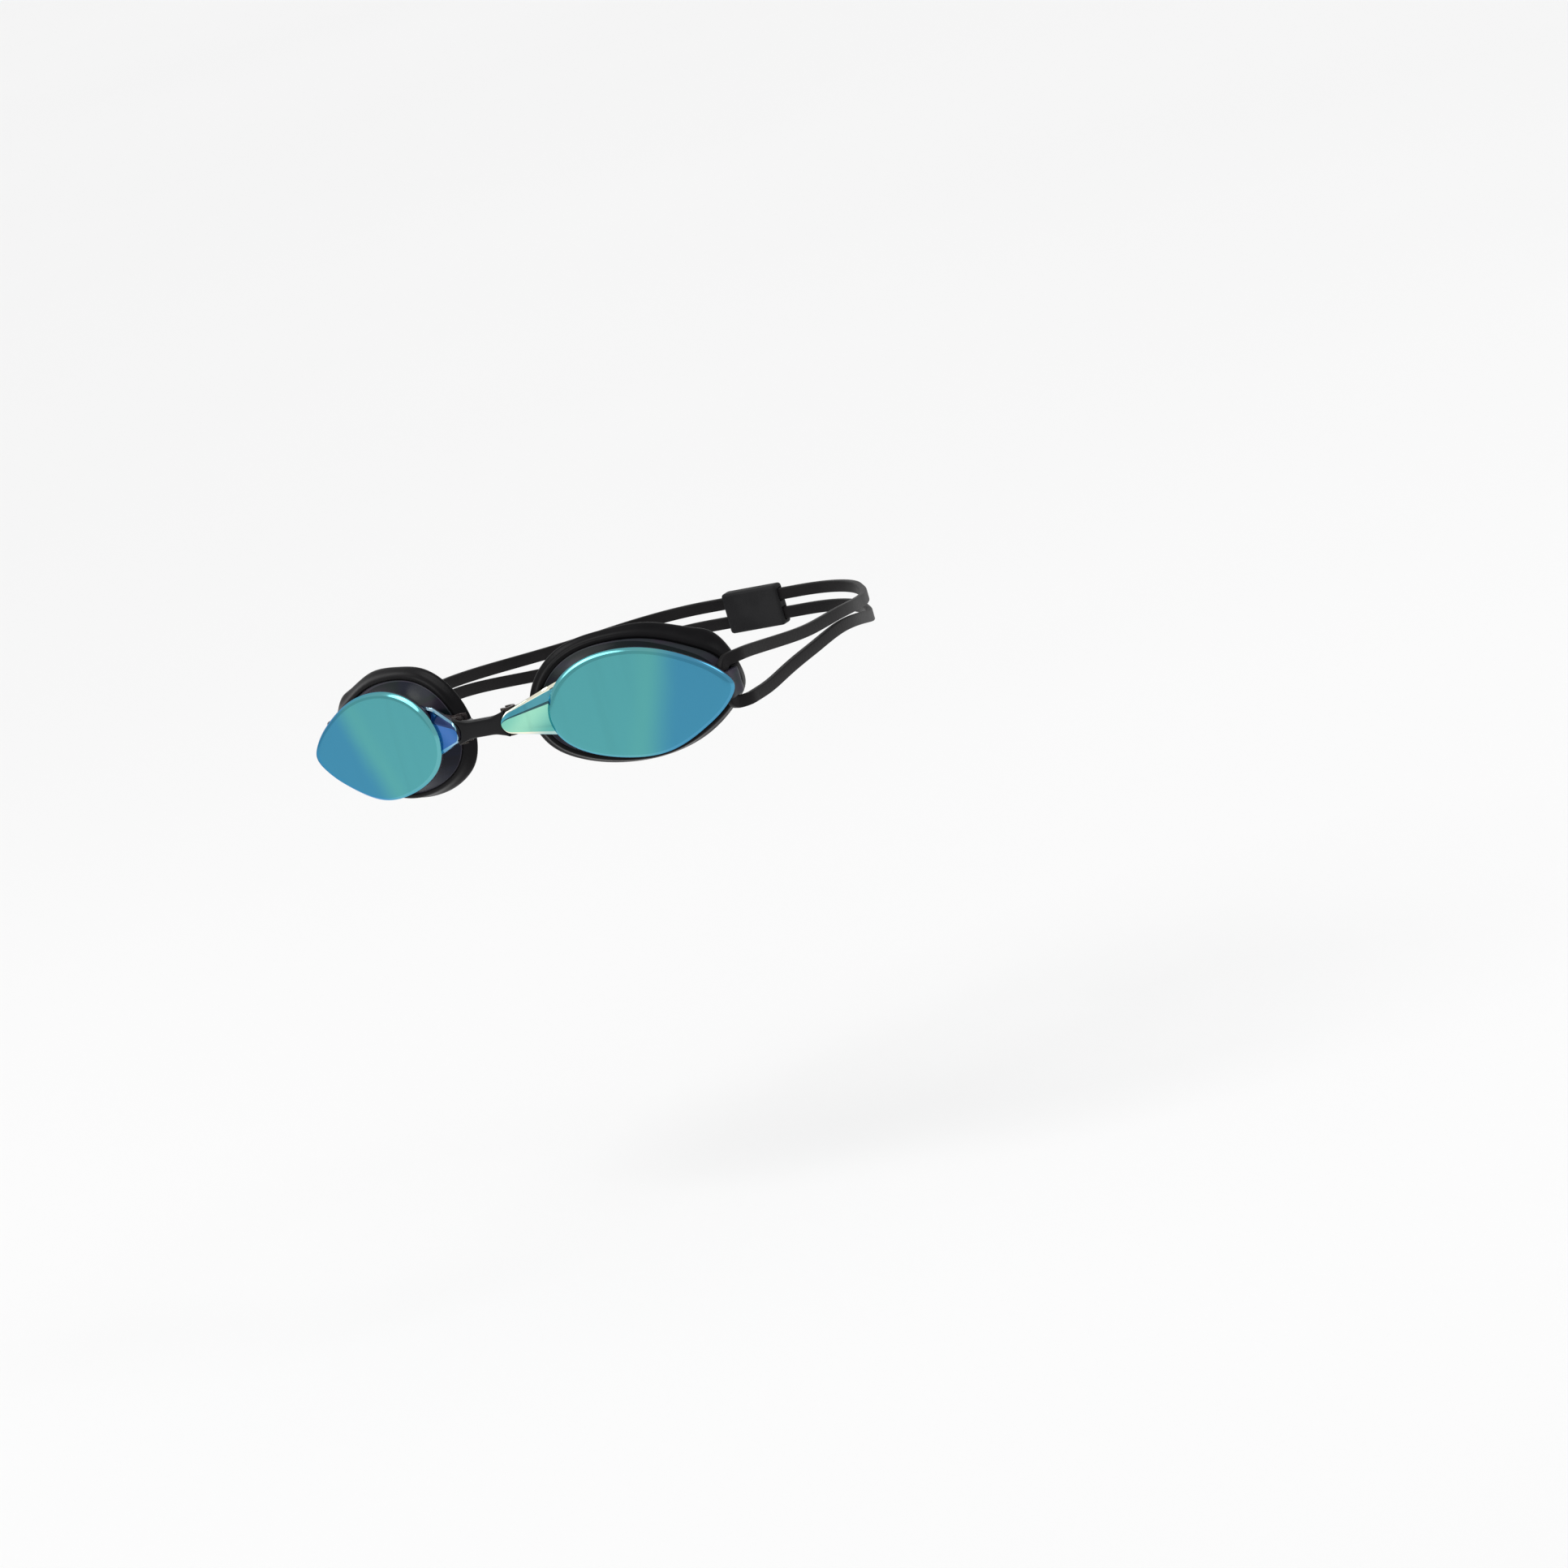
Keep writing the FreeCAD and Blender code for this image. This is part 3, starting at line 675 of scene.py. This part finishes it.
def addPost(side, hand):
    rows = []
    middle = (post["low"] + post["high"]) / 2
    half = (post["high"] - post["low"]) / 2
    lower = post["rounding"]
    for share, shrink in (*lower, (0.0, 1.0), *[(-place, width) for place, width in reversed(lower)]):
        plan = throughPoints(post["plan"], 40)
        plan = plan.mean(axis=0) + (plan - plan.mean(axis=0)) * (shrink, 1.0)
        rows.append(np.stack([plan[:, 0], plan[:, 1], np.full(len(plan), middle + share * half)], axis=1))
    points, faces, index = skin(rows)
    piece = addPiece(hand + "StrapPost", onFace(points, side), faces, [smokeEdge])
    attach(piece, hand + "_cup")
    return piece


for side, hand in ((1, "left"), (-1, "right")):
    addPlate(side, hand)
    addCup(side, hand)
    addGasket(side, hand)
    addTab(side, hand)
    addHook(side, hand)
    addPost(side, hand)
print("cups made")

bridge = {
    "middleHeight": 5.5,
    "endHeight": 8.4,
    "front": -2.6,
    "back": 0.0,
    "endBack": -1.2,
    "hollowCentre": 11.65,
    "hollowRadius": 4.5,
    "reach": 9.0,
    "neck": (4.2, 8.7, 0.79, 2.09, 5.0),   # from, to, front, back, height
    "pinRadius": 1.1,
    "pinHeight": 7.2,
}


def addBridge():
    def endAt(z):
        edge = bridge["hollowCentre"] - math.sqrt(max(bridge["hollowRadius"] ** 2 - z * z, 0.01))
        return min(edge, bridge["reach"])

    rings = []
    corners = np.linspace(0, 2 * math.pi, 48, endpoint=False)
    stations = [(-1.0, 0.55), (-0.995, 0.78), (-0.975, 0.93), (-0.94, 1.0)]
    stations += [(t, 1.0) for t in np.linspace(-0.88, 0.88, 33)]
    stations += [(-t, k) for t, k in reversed(stations[:4])]
    for t, shrink in stations:
        wide = abs(t)
        flare = max(wide - 0.35, 0) / 0.65
        height = bridge["middleHeight"] + (bridge["endHeight"] - bridge["middleHeight"]) * flare ** 2.2
        thin = min(max((wide - 0.55) / 0.25, 0), 1)
        thin = thin * thin * (3 - 2 * thin)
        back = bridge["back"] + (bridge["endBack"] - bridge["back"]) * thin
        front = bridge["front"]
        ring = []
        for a in corners:
            # a rounded block's section
            y = math.copysign(abs(math.cos(a)) ** 0.38, math.cos(a))
            z = math.copysign(abs(math.sin(a)) ** 0.30, math.sin(a))
            z = z * (height / 2 - (1 - shrink) * 0.45)
            crown = 0.22 * (z / (height / 2)) ** 2
            raised = crown if y > 0 else 0
            y = (front + back) / 2 - y * ((back - front) / 2 - (1 - shrink) * 0.45) + raised
            ring.append((t * endAt(z), y, z))
        rings.append(np.array(ring))
    points, faces, rows = skin(rings)
    low, high, near, far, tall = bridge["neck"]
    for side in (1, -1):
        start = len(points)
        plan = [(side * low, near - 1.4), (side * (low + 1.4), near), (side * high, near), (side * high, far),
                (side * (low + 0.6), far), (side * (low - 1.6), near - 1.2)]
        more, moreFaces = prism(plan, -tall / 2, tall / 2)
        points += [np.array(p) for p in more]
        faces += [tuple(i + start for i in face) for face in moreFaces]
        start = len(points)
        ring = [(side * 8.68 + bridge["pinRadius"] * math.cos(a), 1.44 + bridge["pinRadius"] * math.sin(a))
                for a in np.linspace(0, 2 * math.pi, 32, endpoint=False)]
        more, moreFaces = prism(ring, -bridge["pinHeight"] / 2, bridge["pinHeight"] / 2)
        points += [np.array(p) for p in more]
        faces += [tuple(i + start for i in face) for face in moreFaces]
    piece = addPiece("noseBridge", np.array(points) / 1000, faces, [bridgeBlack], None, 40)
    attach(piece, "frame")
    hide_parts("nose_bridge")


addBridge()
print("bridge made")

strap = {
    "width": 3.7,
    "thickness": 2.0,
    "corner": 0.42,
    # plan of the left half: corners, with the radius between each pair of runs
    "plan": ((69.86, 19.8), (70.42, 26.0), (72.92, 30.2), (70.9, 120.6), (36.2, 169.6), (0.0, 169.6)),
    "radii": (3.5, 6.0, 112.0, 38.0),
    "tunnelY": 23.47,
    "turn": 4.0,
    "turnHigh": 1.5,       # crown of each turn
    "turnLow": -11.8,
    # distance behind the tunnel, height
    "upper": ((9, 1.4), (18, 0.3), (35, -2.1), (53, -4.1), (70, -4.8), (80, -5.6)),
    "lower": ((9, -12.0), (19, -12.0), (29, -11.2), (39, -10.4), (54, -9.6), (70, -9.0), (80, -9.8)),
    "rowUpper": -10.5,
    "rowLower": -16.7,
}


def strapPlan():
    # the loop's plan as close points, from the tunnel to the middle of the back
    corners = [np.array(p, float) for p in strap["plan"]]
    line = [corners[0]]
    for before, corner, after, radius in zip(corners, corners[1:], corners[2:], strap["radii"]):
        way = (corner - before) / np.linalg.norm(corner - before)
        out = (after - corner) / np.linalg.norm(after - corner)
        angle = math.acos(np.clip(way @ out, -1, 1))
        reach = radius * math.tan(angle / 2)
        left = math.copysign(1, way[0] * out[1] - way[1] * out[0])
        centre = corner - way * reach + left * radius * np.array([-way[1], way[0]])
        arm = corner - way * reach - centre
        for turn in np.linspace(0, left * angle, 24):
            c, s = math.cos(turn), math.sin(turn)
            line.append(centre + np.array([arm[0] * c - arm[1] * s, arm[0] * s + arm[1] * c]))
    line.append(corners[-1])
    return np.array(line)


def addStrap(side, hand):
    line = strapPlan()
    run = np.concatenate([[0], np.cumsum(np.linalg.norm(np.diff(line, axis=0), axis=1))])

    def spot(s):
        return np.stack([np.interp(s, run, line[:, 0]), np.interp(s, run, line[:, 1])], axis=-1)

    def outward(s):
        way = spot(s + 0.6) - spot(s - 0.6)
        way /= np.linalg.norm(way, axis=-1, keepdims=True)
        return np.stack([way[..., 1], -way[..., 0]], axis=-1)

    rising = line[:, 1] < 169.0
    start = np.interp(strap["tunnelY"], line[rising, 1], run[rising])

    def behind(distance):
        return np.interp(strap["tunnelY"] + distance, line[rising, 1], run[rising])

    end = run[-1]
    radius = strap["turn"]
    keys = [(end, strap["rowUpper"]), (end - 8, strap["rowUpper"]), (end - 16, strap["rowUpper"]),
            (end - 30, strap["rowUpper"]), (behind(118), strap["rowUpper"] + 0.8)]
    keys += [(behind(d), z) for d, z in reversed(strap["upper"])]
    for angle in np.radians((90, 67, 45, 22, 0)):
        bend = start + radius - radius * math.cos(angle)
        keys.append((bend, strap["turnHigh"] - radius + radius * math.sin(angle)))
    keys.append((start, (strap["turnHigh"] + strap["turnLow"]) / 2))
    for angle in np.radians((0, 22, 45, 67, 90)):
        bend = start + radius - radius * math.cos(angle)
        keys.append((bend, strap["turnLow"] + radius - radius * math.sin(angle)))
    keys += [(behind(d), z) for d, z in strap["lower"]]
    keys.append((behind(118), strap["rowLower"] + 0.5))
    keys += [(end - back, strap["rowLower"]) for back in (30, 16, 8, 0)]
    path = throughPoints(keys, 420, closed=False)
    way = np.gradient(path, axis=0)
    way /= np.linalg.norm(way, axis=1, keepdims=True)
    across = np.stack([-way[:, 1], way[:, 0]], axis=1)
    section = []
    wide, thick, corner = strap["width"] / 2, strap["thickness"] / 2, strap["corner"]
    for cw, ct, first in ((1, 1, 0), (-1, 1, 90), (-1, -1, 180), (1, -1, 270)):
        for a in np.radians([first + k for k in (0, 30, 60, 90)]):
            section.append((cw * (wide - corner) + corner * math.cos(a),
                            ct * (thick - corner) + corner * math.sin(a)))
    rings = []
    for centre, side2d in zip(path, across):
        ring = []
        for a, b in section:
            s, z = centre + side2d * a
            flat = spot(s) + outward(s) * b
            ring.append((flat[0] * side, flat[1], z))
        rings.append(np.array(ring))
    points, faces, rows = skin(rings)
    piece = addPiece(hand + "HeadStrap", np.array(points) / 1000, faces, [strapSilicone], None, 60)
    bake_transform(piece)
    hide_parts("head_strap")
    length = sum(np.linalg.norm(np.diff(path, axis=0), axis=1))
    print(hand, "strap half", round(length, 1), "mm along both strands")


for side, hand in ((1, "left"), (-1, "right")):
    addStrap(side, hand)
print("strap made")

clip = {
    "width": 20.0,
    "depth": 5.2,
    "middle": (169.6, -13.6),
    "rows": (-10.5, -16.7),
    "channel": (4.3, 2.6),      # height and depth
    "height": 13.1,
    "window": (6.0, 2.7, 4.8),  # width, height, place either side of the middle
    "ribs": 7,
    "ribPitch": 0.9,
    "ribSize": (0.42, 0.5, 1.6),
}


def blockMesh(name, low, high):
    plan = [(low[0], low[1]), (high[0], low[1]), (high[0], high[1]), (low[0], high[1])]
    points, faces = prism(plan, low[2], high[2])
    return addPiece(name, np.array(points) / 1000, faces, [clipBlack])


def carve(piece, cutter):
    withModifier(piece, "BOOLEAN", operation="DIFFERENCE", solver="EXACT", object=cutter)
    bpy.data.objects.remove(cutter)


def ribTree():
    # a row of small upright ribs, set by named inputs
    tree = bpy.data.node_groups.new("clipRibs", "GeometryNodeTree")
    tree.is_modifier = True
    inputs = (("Rib count", "NodeSocketInt", 7), ("Rib pitch", "NodeSocketFloat", 0.001),
              ("Rib size", "NodeSocketVector", (0.0004, 0.0004, 0.002)),
              ("Row start", "NodeSocketVector", (0, 0, 0)))
    for name, kind, value in inputs:
        tree.interface.new_socket(name, in_out="INPUT", socket_type=kind).default_value = value
    tree.interface.new_socket("Geometry", in_out="OUTPUT", socket_type="NodeSocketGeometry")
    given = tree.nodes.new("NodeGroupInput")
    step = tree.nodes.new("ShaderNodeCombineXYZ")
    tree.links.new(given.outputs["Rib pitch"], step.inputs["X"])
    row = tree.nodes.new("GeometryNodeMeshLine")
    tree.links.new(given.outputs["Rib count"], row.inputs["Count"])
    tree.links.new(given.outputs["Row start"], row.inputs["Start Location"])
    tree.links.new(step.outputs[0], row.inputs["Offset"])
    rib = tree.nodes.new("GeometryNodeMeshIcoSphere")
    rib.inputs["Radius"].default_value = 0.5
    rib.inputs["Subdivisions"].default_value = 2
    spread = tree.nodes.new("GeometryNodeInstanceOnPoints")
    tree.links.new(row.outputs[0], spread.inputs["Points"])
    tree.links.new(rib.outputs[0], spread.inputs["Instance"])
    tree.links.new(given.outputs["Rib size"], spread.inputs["Scale"])
    real = tree.nodes.new("GeometryNodeRealizeInstances")
    tree.links.new(spread.outputs[0], real.inputs[0])
    paint = tree.nodes.new("GeometryNodeSetMaterial")
    paint.inputs["Material"].default_value = clipBlack
    tree.links.new(real.outputs[0], paint.inputs["Geometry"])
    done = tree.nodes.new("NodeGroupOutput")
    tree.links.new(paint.outputs[0], done.inputs[0])
    return tree


def addClip():
    y, z = clip["middle"]
    w, d, h = clip["width"] / 2, clip["depth"] / 2, clip["height"] / 2
    piece = blockMesh("backClip", (-w, y - d, z - h), (w, y + d, z + h))
    withModifier(piece, "BEVEL", width=0.0011, segments=5, limit_method="ANGLE")
    rowHeight, rowDepth = clip["channel"]
    wide, tall, apart = clip["window"]
    for number, row in enumerate(clip["rows"]):
        carve(piece, blockMesh("channel%d" % number, (-w - 1, y - rowDepth / 2, row - rowHeight / 2),
                               (w + 1, y + rowDepth / 2, row + rowHeight / 2)))
        for way in (-1, 1):
            cutter = blockMesh("window", (way * apart - wide / 2, y, row - tall / 2),
                               (way * apart + wide / 2, y + d + 1, row + tall / 2))
            withModifier(cutter, "BEVEL", width=0.0006, segments=3, limit_method="ANGLE")
            carve(piece, cutter)
    piece.data.shade_smooth()
    piece.data.set_sharp_from_angle(angle=math.radians(35))
    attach(piece, "clip")
    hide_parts("strap_clip")
    tree = ribTree()
    names = {item.name: item.identifier for item in tree.interface.items_tree if item.in_out == "INPUT"}
    holder = bpy.data.objects.new("clipRibs", bpy.data.meshes.new("clipRibs"))
    bpy.context.collection.objects.link(holder)
    modifier = holder.modifiers.new("ribs", "NODES")
    modifier.node_group = tree
    modifier[names["Rib count"]] = clip["ribs"]
    modifier[names["Rib pitch"]] = clip["ribPitch"] / 1000
    modifier[names["Rib size"]] = tuple(v / 1000 for v in clip["ribSize"])
    firstRib = -(clip["ribs"] - 1) / 2 * clip["ribPitch"] / 1000
    modifier[names["Row start"]] = (firstRib, (y + d) / 1000, z / 1000)
    shown = holder.evaluated_get(bpy.context.evaluated_depsgraph_get())
    holder.data = bpy.data.meshes.new_from_object(shown)
    holder.modifiers.clear()
    holder.data.shade_smooth()
    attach(holder, "clip")


addClip()
print("clip made")


def addFloor(c):
    half = c["floorSize"] / 2
    mesh = bpy.data.meshes.new("studioFloor")
    z = c["floorHeight"]
    corners = [(-half, -half, z), (half, -half, z), (half, half, z), (-half, half, z)]
    mesh.from_pydata(corners, [], [(0, 1, 2, 3)])
    floor = bpy.data.objects.new("studioFloor", mesh)
    bpy.context.collection.objects.link(floor)
    f = Finish("paleFloor", Roughness=0.9)
    f.colour(f.ramp(f.noise(1.5), (0.0, c["floorShade"]), (1.0, tuple(v * 1.02 for v in c["floorShade"]))))
    mesh.materials.append(f.material)


addFloor(studio)
